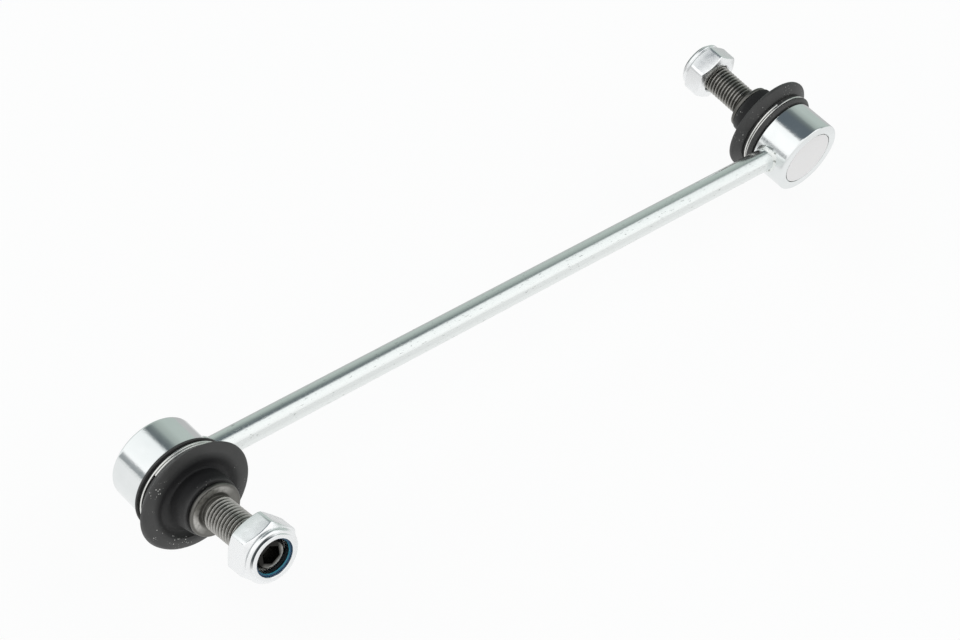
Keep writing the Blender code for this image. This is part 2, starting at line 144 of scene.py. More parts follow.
# Each end: its name, its side of the link's middle, the housing's roll, the stud's tilt, the nut's
# height and turn, the drop of the boot's rim and the slip of its bead
ENDS = (
    ("lower", -1, 90.0 * DEGREE, -8.7 * DEGREE, 45.2, 15.5 * DEGREE, 0.0, (-0.4, 1.4, -0.35)),
    ("upper", 1, -81.0 * DEGREE, 1.8 * DEGREE, 43.6, 27.5 * DEGREE, 0.9, (0.0, 0.0, 0.45)),
)

# Where dust has gathered on each boot
DUST_SPOTS = {
    "lower": (
        (-9.8, -10.2, 16.2), (-6.1, -14.1, 16.2), (18.0, -3.7, 15.8),
        (-14.4, 13.0, 15.8), (-16.0, -4.0, 16.0),
    ),
    "upper": ((3.0, -18.4, 13.0), (-2.0, -17.0, 8.5), (-18.4, -2.5, 13.0)),
}


def add_node(tree, kind, **settings):
    """Add a shader node and set its sockets and properties by name."""
    node = tree.nodes.new(kind)
    for key, value in settings.items():
        if key in node.inputs:
            node.inputs[key].default_value = value
        else:
            setattr(node, key, value)
    return node


def math_node(tree, operation, first, second=0.0):
    """One step of arithmetic on two numbers or sockets."""
    node = add_node(tree, "ShaderNodeMath", operation=operation)
    for socket, value in zip(node.inputs, (first, second)):
        if isinstance(value, (int, float)):
            socket.default_value = value
        else:
            tree.links.new(value, socket)
    return node.outputs[0]


def colour_ramp(tree, factor, stops):
    """A ramp of (position, colour) stops."""
    ramp = tree.nodes.new("ShaderNodeValToRGB")
    elements = ramp.color_ramp.elements
    while len(elements) < len(stops):
        elements.new(1.0)
    for element, (position, colour) in zip(elements, stops):
        element.position = position
        element.color = (*colour, 1.0)
    tree.links.new(factor, ramp.inputs["Fac"])
    return ramp.outputs["Color"]


def held(value, low, high):
    """A number kept between two others."""
    return min(max(value, low), high)


def new_finish(name, metallic):
    """A material with its node tree and its Principled shader."""
    material = bpy.data.materials.new(name)
    material.use_nodes = True
    shader = material.node_tree.nodes["Principled BSDF"]
    shader.inputs["Metallic"].default_value = metallic
    return material, material.node_tree, shader


def local_point(tree, place, stretch=(1.0, 1.0, 1.0)):
    """Object coordinates turned into an end's own frame, in millimetres over the stretch."""
    coordinates = add_node(tree, "ShaderNodeTexCoord")
    mapping = add_node(tree, "ShaderNodeMapping", vector_type="TEXTURE")
    mapping.inputs["Location"].default_value = place.to_translation()
    mapping.inputs["Rotation"].default_value = place.to_euler()
    mapping.inputs["Scale"].default_value = [MILLIMETRE * part for part in stretch]
    tree.links.new(coordinates.outputs["Object"], mapping.inputs["Vector"])
    return mapping.outputs["Vector"]


def noise_at(tree, point, scale, detail=2.0, roughness=0.5):
    """Noise from 0 to 1 at a point."""
    node = add_node(tree, "ShaderNodeTexNoise", Scale=scale, Detail=detail, Roughness=roughness)
    tree.links.new(point, node.inputs["Vector"])
    return node.outputs["Fac"]


def between(tree, value, low, high, start=0.0, end=1.0):
    """Carry a value from one range to another, held at both ends."""
    node = add_node(tree, "ShaderNodeMapRange")
    numbers = (("From Min", low), ("From Max", high), ("To Min", start), ("To Max", end))
    for name, number in numbers:
        node.inputs[name].default_value = number
    tree.links.new(value, node.inputs["Value"])
    return node.outputs["Result"]


def blend_colours(tree, factor, first, second):
    """Mix two colours, each a socket or three numbers."""
    node = add_node(tree, "ShaderNodeMix", data_type="RGBA")
    tree.links.new(factor, node.inputs["Factor"])
    for socket, colour in ((node.inputs[6], first), (node.inputs[7], second)):
        if isinstance(colour, tuple):
            socket.default_value = (*colour, 1.0)
        else:
            tree.links.new(colour, socket)
    return node.outputs[2]


def raise_surface(tree, shader, height, depth):
    """Bump a shader's normal by a height whose whole range is that many micrometres deep."""
    bump = add_node(tree, "ShaderNodeBump", Strength=1.0, Distance=depth * MICROMETRE)
    tree.links.new(height, bump.inputs["Height"])
    tree.links.new(bump.outputs["Normal"], shader.inputs["Normal"])


def vary_roughness(tree, shader, cloud, start, end):
    """Let the roughness follow a noise, from the start at its lows to the end at its highs."""
    tree.links.new(between(tree, cloud, 0.3, 0.7, start, end), shader.inputs["Roughness"])


def turned_zinc(name, place):
    """Zinc plating over a turned housing: fine tool lines round it and a faint mottle."""
    material, tree, shader = new_finish(name, metallic=1.0)
    point = local_point(tree, place)
    lines = noise_at(tree, local_point(tree, place, (8.0, 8.0, 0.18)), 1.0)
    mottle = noise_at(tree, point, 1.5, 3.0, 0.6)
    cloud = noise_at(tree, point, 0.22, 2.0)
    height = math_node(tree, "ADD", math_node(tree, "MULTIPLY", lines, 0.4), mottle)
    raise_surface(tree, shader, height, 16.0)
    vary_roughness(tree, shader, cloud, 0.07, 0.13)
    colour = blend_colours(tree, cloud, (0.80, 0.83, 0.83), (0.88, 0.90, 0.90))
    tree.links.new(colour, shader.inputs["Base Color"])
    return material


def drawn_zinc(name):
    """Zinc plating over the drawn rod: lengthwise lines, small nicks and scuffs."""
    material, tree, shader = new_finish(name, metallic=1.0)
    point = local_point(tree, IN_THE_WORLD)
    lines = noise_at(tree, local_point(tree, IN_THE_WORLD, (30.0, 0.35, 0.35)), 1.0, 3.0, 0.6)
    mottle = noise_at(tree, point, 0.9, 3.0, 0.6)
    nicks = noise_at(tree, local_point(tree, IN_THE_WORLD, (2.2, 0.45, 0.45)), 1.0, 2.0)
    nicks = between(tree, nicks, 0.66, 0.74)
    height = math_node(tree, "ADD", math_node(tree, "MULTIPLY", lines, 0.6), mottle)
    height = math_node(tree, "SUBTRACT", height, math_node(tree, "MULTIPLY", nicks, 1.5))
    raise_surface(tree, shader, height, 10.0)
    roughness = between(tree, mottle, 0.3, 0.7, 0.14, 0.24)
    roughness = math_node(tree, "ADD", roughness, math_node(tree, "MULTIPLY", nicks, 0.2))
    tree.links.new(roughness, shader.inputs["Roughness"])
    colour = blend_colours(tree, nicks, (0.85, 0.88, 0.87), (0.45, 0.47, 0.46))
    tree.links.new(colour, shader.inputs["Base Color"])
    return material


def bright_zinc(name, place):
    """Thick bright zinc on a cold-formed nut, softly rippled, with painted shade in its creases.
    """
    material, tree, shader = new_finish(name, metallic=1.0)
    point = local_point(tree, place)
    crease_shade = add_node(tree, "ShaderNodeAttribute", attribute_name="crease_shade")
    ripple = noise_at(tree, point, 0.55, 1.0)
    raise_surface(tree, shader, ripple, 10.0)
    vary_roughness(tree, shader, ripple, 0.22, 0.32)
    colour = blend_colours(tree, ripple, (0.95, 0.965, 0.975), (0.985, 0.995, 0.995))
    # Painted shade: the creases darkened towards near black
    colour = blend_colours(tree, crease_shade.outputs["Fac"], colour, (0.10, 0.115, 0.12))
    tree.links.new(colour, shader.inputs["Base Color"])
    return material


def cover_zinc(name, place):
    """The stamped end cover, a little duller than the housing round it."""
    material, tree, shader = new_finish(name, metallic=1.0)
    point = local_point(tree, place)
    grain = noise_at(tree, point, 2.4, 3.0)
    cloud = noise_at(tree, point, 0.25, 2.0)
    raise_surface(tree, shader, grain, 10.0)
    vary_roughness(tree, shader, cloud, 0.28, 0.42)
    colour = blend_colours(tree, cloud, (0.82, 0.82, 0.82), (0.90, 0.89, 0.89))
    tree.links.new(colour, shader.inputs["Base Color"])
    return material


def weld_finish(name):
    """Plated weld metal: lumpy, with painted shade darkening the hollows between its lumps."""
    material, tree, shader = new_finish(name, metallic=1.0)
    lumps = noise_at(tree, local_point(tree, IN_THE_WORLD), 0.8)
    raise_surface(tree, shader, lumps, 60.0)
    # Painted shade: the low parts of the lumps are darker
    lump_tops = between(tree, lumps, 0.32, 0.48)
    colour = blend_colours(tree, lump_tops, (0.40, 0.42, 0.40), (0.86, 0.89, 0.87))
    tree.links.new(colour, shader.inputs["Base Color"])
    vary_roughness(tree, shader, lumps, 0.5, 0.25)
    return material


def dark_steel(name, place):
    """Phosphated and oiled steel, with painted highlights on its edges and crests and painted
    shade, near black, in its roots and round its socket.
    """
    material, tree, shader = new_finish(name, metallic=1.0)
    point = local_point(tree, place)
    light_and_shade = add_node(tree, "ShaderNodeAttribute", attribute_name="light_and_shade").outputs["Fac"]
    patches = noise_at(tree, point, 0.9, 3.0, 0.6)
    grain = noise_at(tree, point, 5.0, 2.0)
    # Painted light: painted highlights where the attribute is above 0, broken up by the patches,
    # and painted shade, near black, where it is below 0
    painted_highlight = math_node(tree, "MULTIPLY", light_and_shade, between(tree, patches, 0.25, 0.6, 0.45, 1.0))
    black = between(tree, light_and_shade, -1.0, 0.0, 1.0, 0.0)
    colour = blend_colours(tree, patches, (0.15, 0.148, 0.138), (0.25, 0.245, 0.228))
    colour = blend_colours(tree, black, colour, (0.025, 0.024, 0.022))
    colour = blend_colours(tree, painted_highlight, colour, (0.66, 0.65, 0.62))
    tree.links.new(colour, shader.inputs["Base Color"])
    vary_roughness(tree, shader, patches, 0.30, 0.44)
    raise_surface(tree, shader, grain, 10.0)
    return material


def spring_wire(name, place):
    """Bright drawn spring wire."""
    material, tree, shader = new_finish(name, metallic=1.0)
    streak = noise_at(tree, local_point(tree, place), 1.4, 2.0)
    vary_roughness(tree, shader, streak, 0.14, 0.3)
    colour = blend_colours(tree, streak, (0.70, 0.70, 0.67), (0.90, 0.90, 0.88))
    tree.links.new(colour, shader.inputs["Base Color"])
    return material


def dusty_rubber(name, place, dust_spots):
    """Moulded rubber: grey on its open faces, painted near black as painted shade on its sheltered
    faces, with specks of dust.
    """
    material, tree, shader = new_finish(name, metallic=0.0)
    point = local_point(tree, place)
    painted_shade = add_node(tree, "ShaderNodeAttribute", attribute_name="painted_shade").outputs["Fac"]
    skin = noise_at(tree, point, 2.5, 3.0)
    cloud = noise_at(tree, point, 0.16, 2.0)
    specks = add_node(tree, "ShaderNodeTexVoronoi", Scale=1.5, Randomness=1.0)
    tree.links.new(point, specks.inputs["Vector"])
    sizes = add_node(tree, "ShaderNodeSeparateColor")
    tree.links.new(specks.outputs["Color"], sizes.inputs["Color"])
    reach = between(tree, sizes.outputs["Red"], 0.35, 1.0, 0.02, 0.34)
    near = math_node(tree, "SUBTRACT", reach, specks.outputs["Distance"])
    near = between(tree, near, 0.0, 0.06)
    where = between(tree, noise_at(tree, point, 0.13, 1.0), 0.60, 0.68, 0.0, 0.5)
    for spot in dust_spots:
        away = add_node(tree, "ShaderNodeVectorMath", operation="DISTANCE")
        tree.links.new(point, away.inputs[0])
        away.inputs[1].default_value = spot
        close = between(tree, away.outputs["Value"], 1.6, 3.4, 1.0, 0.0)
        where = math_node(tree, "MAXIMUM", where, close)
    dust = math_node(tree, "MULTIPLY", near, where)
    shade = blend_colours(tree, cloud, (0.032, 0.032, 0.032), (0.056, 0.056, 0.055))
    # Painted shade: sheltered faces darkened towards black
    shade = blend_colours(tree, painted_shade, shade, (0.004, 0.004, 0.005))
    dusted = blend_colours(tree, dust, shade, (0.75, 0.75, 0.72))
    tree.links.new(dusted, shader.inputs["Base Color"])
    tree.links.new(between(tree, painted_shade, 0.0, 1.0, 0.48, 0.75), shader.inputs["Roughness"])
    height = math_node(tree, "ADD", skin, math_node(tree, "MULTIPLY", dust, 2.0))
    raise_surface(tree, shader, height, 30.0)
    return material


def pale_plastic(name):
    """Off-white bearing plastic."""
    material, tree, shader = new_finish(name, metallic=0.0)
    point = local_point(tree, IN_THE_WORLD)
    cloud = noise_at(tree, point, 0.4, 2.0)
    colour = blend_colours(tree, cloud, (0.74, 0.73, 0.67), (0.84, 0.83, 0.78))
    tree.links.new(colour, shader.inputs["Base Color"])
    raise_surface(tree, shader, noise_at(tree, point, 3.0, 2.0), 10.0)
    shader.inputs["Roughness"].default_value = 0.42
    shader.inputs["Subsurface Weight"].default_value = 0.1
    shader.inputs["Subsurface Radius"].default_value = (0.001, 0.001, 0.001)
    return material


def blue_nylon(name, place, top):
    """Dark blue nylon with a waxy sheen, a painted highlight along its lip and painted shade deep
    inside the nut.
    """
    material, tree, shader = new_finish(name, metallic=0.0)
    shader.inputs["Roughness"].default_value = 0.28
    point = local_point(tree, place)
    cloud = noise_at(tree, point, 0.7, 2.0)
    colour = blend_colours(tree, cloud, (0.010, 0.06, 0.13), (0.018, 0.09, 0.19))
    parts = add_node(tree, "ShaderNodeSeparateXYZ")
    tree.links.new(point, parts.inputs["Vector"])
    height = parts.outputs["Z"]
    # Painted highlight: a teal band along the lip
    from_lip = math_node(tree, "ABSOLUTE", math_node(tree, "SUBTRACT", height, top - 1.2))
    lip = between(tree, from_lip, 0.08, 0.25, 1.0, 0.0)
    colour = blend_colours(tree, lip, colour, (0.06, 0.36, 0.46))
    # Painted shade: near black deep inside the nut
    out_of_shade = between(tree, height, top - 1.6, top - 1.3)
    colour = blend_colours(tree, out_of_shade, (0.001, 0.006, 0.010), colour)
    tree.links.new(colour, shader.inputs["Base Color"])
    raise_surface(tree, shader, cloud, 40.0)
    return material


def turned(section, steps=96):
    """Revolve a section of (radius, height, rounding) corners about the Z axis."""
    shape = bmesh.new()
    corners = [shape.verts.new((radius, 0.0, height)) for radius, height, _ in section]
    solid = section[0][0] == 0.0
    for first, second in zip(corners, corners[1:] if solid else corners[1:] + corners[:1]):
        shape.edges.new((first, second))
    for corner, (_, _, rounding) in zip(corners, section):
        if rounding:
            bmesh.ops.bevel(
                shape, geom=[corner], offset=rounding, offset_type="OFFSET",
                affect="VERTICES", segments=3, profile=0.5, material=-1,
            )
    bmesh.ops.spin(
        shape, geom=shape.verts[:] + shape.edges[:], axis=(0, 0, 1), angle=math.tau,
        steps=steps, use_merge=True,
    )
    bmesh.ops.remove_doubles(shape, verts=shape.verts, dist=0.0001)
    bmesh.ops.recalc_face_normals(shape, faces=shape.faces)
    return shape


def turn_about(shape, angle, axis):
    """Turn a shape about one of its axes."""
    turn = Matrix.Rotation(angle, 3, axis)
    bmesh.ops.rotate(shape, cent=(0, 0, 0), matrix=turn, verts=shape.verts)


def set_in_place(shape, name, place, finish, slot, body, *nodes):
    """Make a shape of millimetres a piece of the link that rides on a body."""
    bmesh.ops.transform(shape, matrix=place @ Matrix.Scale(MILLIMETRE, 4), verts=shape.verts)
    mesh = bpy.data.meshes.new(name)
    shape.to_mesh(mesh)
    shape.free()
    mesh.shade_smooth()
    mesh.set_sharp_from_angle(angle=SHARP_EDGE)
    mesh.materials.append(finish)
    piece = bpy.data.objects.new(name, mesh)
    bpy.context.scene.collection.objects.link(piece)
    if body:
        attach(piece, body)
    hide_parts(*nodes)
    return piece


def housing_wall(y):
    """How far the housing's wall stands from its axis, measured along the rod."""
    return math.sqrt(max(HOUSING_RADIUS**2 - y**2, 0.0))


def make_rod():
    """The drawn rod, its ends saddled to the housings and let a little into them."""
    shape = bmesh.new()
    into_wall = 0.15
    bmesh.ops.create_cone(
        shape, cap_ends=True, segments=64, radius1=ROD_RADIUS, radius2=ROD_RADIUS,
        depth=CENTRES, matrix=Matrix.Rotation(math.pi / 2, 4, "Y"),
    )
    for vertex in shape.verts:
        side = math.copysign(1.0, vertex.co.x)
        vertex.co.x = side * (CENTRES / 2 - housing_wall(vertex.co.y) + into_wall)
    finish = drawn_zinc("drawn_zinc")
    set_in_place(shape, "drawn_rod", IN_THE_WORLD, finish, "zinc_plate", "link", "rod")


def make_weld(side, middle, finish):
    """The lumpy ring of weld metal between the rod and a housing."""
    inner, outer, buried = ROD_RADIUS - 0.1, ROD_RADIUS + 1.2, -0.8
    section = (
        (inner, 1.4, 0.0),
        (ROD_RADIUS + 0.4, 1.2, 0.3),
        (ROD_RADIUS + 0.85, 0.6, 0.3),
        (outer, 0.1, 0.15),
        (outer, buried, 0.0),
        (inner, buried, 0.0),
    )
    shape = turned(section, steps=72)
    for vertex in shape.verts:
        angle = math.atan2(vertex.co.y, vertex.co.x)
        away = math.hypot(vertex.co.x, vertex.co.y) - ROD_RADIUS
        broad = Vector((3.0 * math.cos(angle), 3.0 * math.sin(angle), 7.0 * middle))
        fine = Vector((9.0 * math.cos(angle), 9.0 * math.sin(angle), 3.0))
        swell = noise.noise(broad) + 0.5 * noise.noise(fine)
        if vertex.co.z > 0.0 and away > 0.2:
            vertex.co.z += 0.18 * swell
    turn_about(shape, -middle * math.pi / 2, "Y")
    for vertex in shape.verts:
        vertex.co.x += -middle * housing_wall(vertex.co.y)
    place = Matrix.Translation((middle * CENTRES / 2 * MILLIMETRE, 0, 0))
    set_in_place(shape, f"{side}_weld", place, finish, "weld_metal", "link", f"{side}_weld_bead")


def make_housing(side, place, finish):
    """The turned cup with its grooved spigot.

    The corners close to its edges keep the shading of its long wall and flat back straight.
    """
    ledge = HOUSING_BACK + COVER_THICKNESS + 0.3
    recess = COVER_RADIUS + 0.3
    lip = SPIGOT_TOP - 0.8
    section = (
        (SPIGOT_RADIUS, SPIGOT_TOP, 0.3),
        (SPIGOT_RADIUS, lip, 0.0),
        (SPIGOT_GROOVE, lip, 0.0),
        (SPIGOT_GROOVE, SHOULDER, 0.0),
        (HOUSING_RADIUS, SHOULDER, 0.35),
        (HOUSING_RADIUS, SHOULDER - 0.6, 0.0),
        (HOUSING_RADIUS, HOUSING_BACK + 1.1, 0.0),
        (HOUSING_RADIUS, HOUSING_BACK, 0.55),
        (HOUSING_RADIUS - 1.1, HOUSING_BACK, 0.0),
        (recess + 0.4, HOUSING_BACK, 0.0),
        (recess, HOUSING_BACK, 0.12),
        (recess, ledge, 0.0),
        (HOUSING_BORE, ledge, 0.0),
        (HOUSING_BORE, SHOULDER, 0.0),
        (HOUSING_THROAT, SHOULDER, 0.2),
        (HOUSING_MOUTH, SPIGOT_TOP, 0.2),
    )
    shape = turned(section, 128)
    set_in_place(shape, f"{side}_cup", place, finish, "zinc_plate", "link", f"{side}_housing")


def make_end_cover(side, place, finish):
    """The disc rolled into the housing's back."""
    inside = HOUSING_BACK + COVER_THICKNESS
    section = (
        (0.0, inside, 0.0),
        (COVER_RADIUS, inside, 0.0),
        (COVER_RADIUS, HOUSING_BACK, 0.15),
        (COVER_RADIUS - 0.5, HOUSING_BACK, 0.0),
        (0.0, HOUSING_BACK, 0.0),
    )
    name, node = f"{side}_cover_disc", f"{side}_end_cover"
    set_in_place(turned(section), name, place, finish, "zinc_plate", "link", node)


def make_boot(side, place, tilt, drop, slip, finish):
    """The moulded boot, bent so that its neck stands with the stud.

    Its rim lies a drop lower, and its bead a slip off centre, where the photograph shows it so.
    Each vertex says how much painted shade it gets: most on the tier and in the dish round it, and
    more on the side that faces up.
    """
    outer_dish = DISH_HEIGHT - drop
    inner_dish = outer_dish - 1.8
    bead_foot = SHOULDER + 0.1
    bead_tongue = SPIGOT_TOP - 1.1
    section = (
        (10.0, BOOT_TOP, 0.5),
        (10.2, 21.6, 0.6),
        (TIER_RADIUS, 19.7, 0.8),
        (TIER_RADIUS, outer_dish, 2.2),
        (DISH_RADIUS, outer_dish, 1.3),
        (16.0, 16.55 - drop, 1.2),
        (20.0, 16.11 - drop, 0.8),
        (20.45, 14.35 - drop, 0.5),
        (BEAD_RADIUS - 0.3, WIRE_GROOVE_TOP, 0.3),
        (WIRE_GROOVE, WIRE_GROOVE_TOP, 0.0),
        (WIRE_GROOVE, WIRE_GROOVE_BASE, 0.0),
        (BEAD_RADIUS, WIRE_GROOVE_BASE, 0.4),
        (BEAD_RADIUS, SHOULDER + 0.9, 0.5),
        (BEAD_RADIUS - 1.0, bead_foot, 0.3),
        (SPIGOT_GROOVE + 0.1, bead_foot, 0.0),
        (SPIGOT_GROOVE + 0.1, bead_tongue, 0.0),
        (SPIGOT_RADIUS + 0.2, bead_tongue, 0.0),
        (SPIGOT_RADIUS + 0.2, SPIGOT_TOP + 0.3, 0.2),
        (18.1, 14.0 - drop, 0.4),
        (17.6, 14.75 - drop, 0.3),
        (16.0, 14.75 - drop, 0.6),
        (DISH_RADIUS, inner_dish, 0.6),
        (TIER_RADIUS - 1.3, inner_dish, 0.8),
        (TIER_RADIUS - 1.3, 17.8, 0.4),
        (NECK_GRIP_RADIUS, NECK_GRIP, 0.3),
        (NECK_GRIP_RADIUS, NECK_GRIP + 1.0, 0.0),
        (BUSH_POCKET, NECK_GRIP + 1.0, 0.0),
        (BUSH_POCKET, BOOT_TOP - 1.0, 0.0),
        (BOOT_MOUTH, BOOT_TOP - 1.0, 0.0),
        (BOOT_MOUTH, BOOT_TOP, 0.2),
    )
    shape = turned(section, 112)
    pivot = Vector((0, 0, BALL_RISE))
    # Painted shade for the rubber's colour, carried by each vertex
    painted_shade = shape.verts.layers.float.new("painted_shade")
    for vertex in shape.verts:
        radius = vertex.co.xy.length
        inward = held((16.2 - radius) / 1.8, 0.0, 1.0)
        top = (place.to_3x3() @ vertex.co).z / radius
        up_neck = held((vertex.co.z - 19.5 - 2.5 * top) / 2.5, 0.0, 1.0)
        vertex[painted_shade] = inward * (0.62 + 0.38 * top) * (1.0 - 0.6 * up_neck)
        if radius > WIRE_GROOVE - 0.3:
            vertex.co += Vector(slip) * held((12.6 - vertex.co.z) / 1.6, 0.45, 1.0)
            vertex.co.z = max(vertex.co.z, bead_foot - 0.05)
        share = held((vertex.co.z - SPIGOT_TOP) / (NECK_GRIP - SPIGOT_TOP), 0.0, 1.0)
        share = share * share * (3.0 - 2.0 * share)
        middle = Vector((0, 0, vertex.co.z - BALL_RISE))
        across = Vector((vertex.co.x, vertex.co.y, 0))
        middle.rotate(Matrix.Rotation(tilt * share, 3, "X"))
        across.rotate(Matrix.Rotation(tilt * share**2.5, 3, "X"))
        vertex.co = pivot + middle + across
    name, node = f"{side}_rubber_boot", f"{side}_dust_boot"
    boot = set_in_place(shape, name, place, finish, "black_rubber", None, node)
    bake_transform(boot)


def make_wire_ring(side, place, slip, finish):
    """The coil of spring wire in the boot's groove, its ends where the photograph shows them."""
    shape = bmesh.new()
    radius = WIRE_GROOVE + 0.25 + WIRE_RADIUS
    height = WIRE_GROOVE_BASE + 0.3 + WIRE_RADIUS
    upright = Matrix.Rotation(math.pi / 2, 4, "X")
    bmesh.ops.create_circle(
        shape, cap_ends=True, segments=12, radius=WIRE_RADIUS,
        matrix=Matrix.Translation((radius, 0, height)) @ upright,
    )
    steps = round(WIRE_TURNS * 96)
    bmesh.ops.spin(
        shape, geom=shape.verts[:] + shape.edges[:] + shape.faces[:], axis=(0, 0, 1),
        angle=WIRE_TURNS * math.tau, steps=steps, dvec=(0, 0, WIRE_PITCH * WIRE_TURNS / steps),
    )
    turn_about(shape, WIRE_START[side], "Z")
    bmesh.ops.translate(shape, vec=(slip[0] + 0.2, slip[1], -0.2), verts=shape.verts)
    bmesh.ops.recalc_face_normals(shape, faces=shape.faces)
    name, node = f"{side}_wire_ring", f"{side}_clamp_ring"
    set_in_place(shape, name, place, finish, "spring_steel", f"{side}_boot", node)


def threaded_shank():
    """The thread as one closed solid with a hex socket in its tip.

    One pitch of its flank is wound up in a helix, cut square at both ends, and pared down where
    the shank is narrower than the thread.
    """
    shape = bmesh.new()
    start = THREAD_START - THREAD_PITCH
    flank = (
        (THREAD_ROOT, 0.0), (THREAD_ROOT, 0.2), (THREAD_RADIUS, 0.66),
        (THREAD_RADIUS, 0.84), (THREAD_ROOT, 1.3), (THREAD_ROOT, THREAD_PITCH),
    )
    corners = [shape.verts.new((radius, 0.0, start + height)) for radius, height in flank]
    for first, second in zip(corners, corners[1:]):
        shape.edges.new((first, second))
    turns = math.ceil((STUD_TIP - start) / THREAD_PITCH) + 1
    steps = 48
    bmesh.ops.spin(
        shape, geom=shape.verts[:] + shape.edges[:], axis=(0, 0, 1), angle=turns * math.tau,
        steps=turns * steps, dvec=(0, 0, THREAD_PITCH / steps),
    )
    bmesh.ops.remove_doubles(shape, verts=shape.verts, dist=0.0001)
    for height, inner, outer in ((THREAD_START, True, False), (STUD_TIP, False, True)):
        bmesh.ops.bisect_plane(
            shape, geom=shape.verts[:] + shape.edges[:] + shape.faces[:], dist=0.0001,
            plane_co=(0, 0, height), plane_no=(0, 0, 1), clear_inner=inner, clear_outer=outer,
        )
    for vertex in shape.verts:
        runout = UNDERCUT_RADIUS + (vertex.co.z - THREAD_START)
        chamfer = THREAD_RADIUS - TIP_CHAMFER + (STUD_TIP - vertex.co.z)
        limit = min(THREAD_RADIUS, runout, chamfer)
        radius = vertex.co.xy.length
        if radius > limit:
            vertex.co.xy *= limit / radius
    open_edges = [edge for edge in shape.edges if edge.is_boundary]
    rim = [edge for edge in open_edges if edge.verts[0].co.z > STUD_TIP - 0.01]
    hexagon = bmesh.ops.create_circle(
        shape, segments=6, radius=SOCKET_FLATS / math.sqrt(3),
        matrix=Matrix.Translation((0, 0, STUD_TIP)),
    )["verts"]
    mouth = list({edge for vertex in hexagon for edge in vertex.link_edges})
    bmesh.ops.triangle_fill(shape, use_beauty=True, use_dissolve=False, edges=rim + mouth)
    walls = bmesh.ops.extrude_edge_only(shape, edges=mouth)["geom"]
    floor = [part for part in walls if isinstance(part, bmesh.types.BMVert)]
    bmesh.ops.translate(shape, vec=(0, 0, -SOCKET_DEPTH), verts=floor)
    open_edges = [edge for edge in shape.edges if edge.is_boundary]
    bmesh.ops.holes_fill(shape, edges=open_edges, sides=0)
    bmesh.ops.recalc_face_normals(shape, faces=shape.faces)
    return shape


def stud_painted_light(radius, height, facing, underside, face):
    """How much painted light a point of the stud gets: 1 a painted highlight, 0 as it was forged,
    -1 painted shade, black.

    Facing is 1 on the side of the shading direction and -1 on the side across from it.
    """
    # The tip: a painted highlight on its brim and chamfer across from the shading direction, and
    # painted shade, black, on the rest of its face and round the socket
    lit_edge = held(0.2 - 1.2 * facing, 0.0, 1.0)
    if height > STUD_TIP - 0.02:
        brim = radius > SOCKET_FLATS / math.sqrt(3) + 0.3
        return 2.0 * lit_edge - 1.0 if brim else -1.0
    if height > STUD_TIP - TIP_CHAMFER - 0.2 and radius > THREAD_RADIUS - TIP_CHAMFER:
        return lit_edge
    # Painted highlight on the thread's crests
    if height > THREAD_START and radius > THREAD_RADIUS - 0.05:
        return 0.9
    # Painted shade in the thread's roots
    on_thread = THREAD_START < height < STUD_TIP - 0.5
    if on_thread and THREAD_ROOT - 0.3 < radius < THREAD_ROOT + 0.1:
        return -0.4
    # A painted highlight on the collar's face, brightest on the side of the shading direction
    if abs(height - face) < 0.01 and 6.7 < radius < 8.3:
        return held(0.25 + 1.2 * facing, 0.0, 1.4)
    if underside < height <= face and radius > COLLAR_RADIUS - COLLAR_EDGE - 0.1:
        return -0.2
    return 0.0


def make_stud(side, place, finish):
    """Ball, neck, collar and threaded shank."""
    underside = COLLAR_UNDERSIDE + COLLAR_RISE[side]
    face = COLLAR_FACE + COLLAR_RISE[side]
    low = math.asin(NECK_RADIUS / BALL_RADIUS)
    high = math.pi - math.acos((BALL_RADIUS - BALL_FLAT) / BALL_RADIUS)
    steps = 24
    angles = [low + (high - low) * step / steps for step in range(steps + 1)]
    ball = [
        (BALL_RADIUS * math.sin(angle), BALL_RISE + BALL_RADIUS * math.cos(angle), 0.0)
        for angle in angles
    ]
    section = [
        (0.0, THREAD_START + 1.0, 0.0),
        (THREAD_ROOT - 0.1, THREAD_START + 1.0, 0.0),
        (UNDERCUT_RADIUS, THREAD_START, 0.2),
        (UNDERCUT_RADIUS, face - 0.3, 0.2),
        (6.2, face, 0.15),
        (6.8, face, 0.0),
        (8.2, face, 0.0),
        (COLLAR_RADIUS, face, COLLAR_EDGE),
        (COLLAR_RADIUS, underside, COLLAR_EDGE),
        (SEAL_RADIUS, underside, 0.3),
        (SEAL_RADIUS, NECK_GRIP, 0.4),
        (NECK_RADIUS, 17.0, 0.8),
        *ball,
        (0.0, BALL_RISE - BALL_RADIUS + BALL_FLAT, 0.0),
    ]
    shape = turned(section)
    shank = bpy.data.meshes.new("shank")
    thread = threaded_shank()
    thread.to_mesh(shank)
    thread.free()
    shape.from_mesh(shank)
    bpy.data.meshes.remove(shank)
    light_and_shade = shape.verts.layers.float.new("light_and_shade")
    for vertex in shape.verts:
        outward = (place.to_3x3() @ Vector((vertex.co.x, vertex.co.y, 0.0))).normalized()
        facing = outward.dot(SHADING_DIRECTION)
        vertex[light_and_shade] = stud_painted_light(vertex.co.xy.length, vertex.co.z, facing, underside, face)
    name, node = f"{side}_stud_forging", f"{side}_ball_stud"
    set_in_place(shape, name, place, finish, "phosphated_steel", f"{side}_stud", node)


def painted_nut_shade(radius, height, facing):
    """How much painted shade a crease of the nut gets, from 0 to 1, by how far it faces that side.
    """
    if radius > NUT_LIP - 0.2:
        if radius < 8.95 and 10.85 < height < 11.35:
            return held(facing * 4.0 - 2.6, 0.0, 1.0)
        if radius < NUT_COLLAR_FOOT + 0.2 and abs(height - NUT_HEX_HEIGHT) < 0.2:
            return held(facing * 2.0 - 1.2, 0.0, 0.6)
    if 8.8 < radius < 9.3 and 10.5 < height < 10.95:
        return held(-facing * 8.0 - 7.0, 0.0, 1.0)
    return 0.0


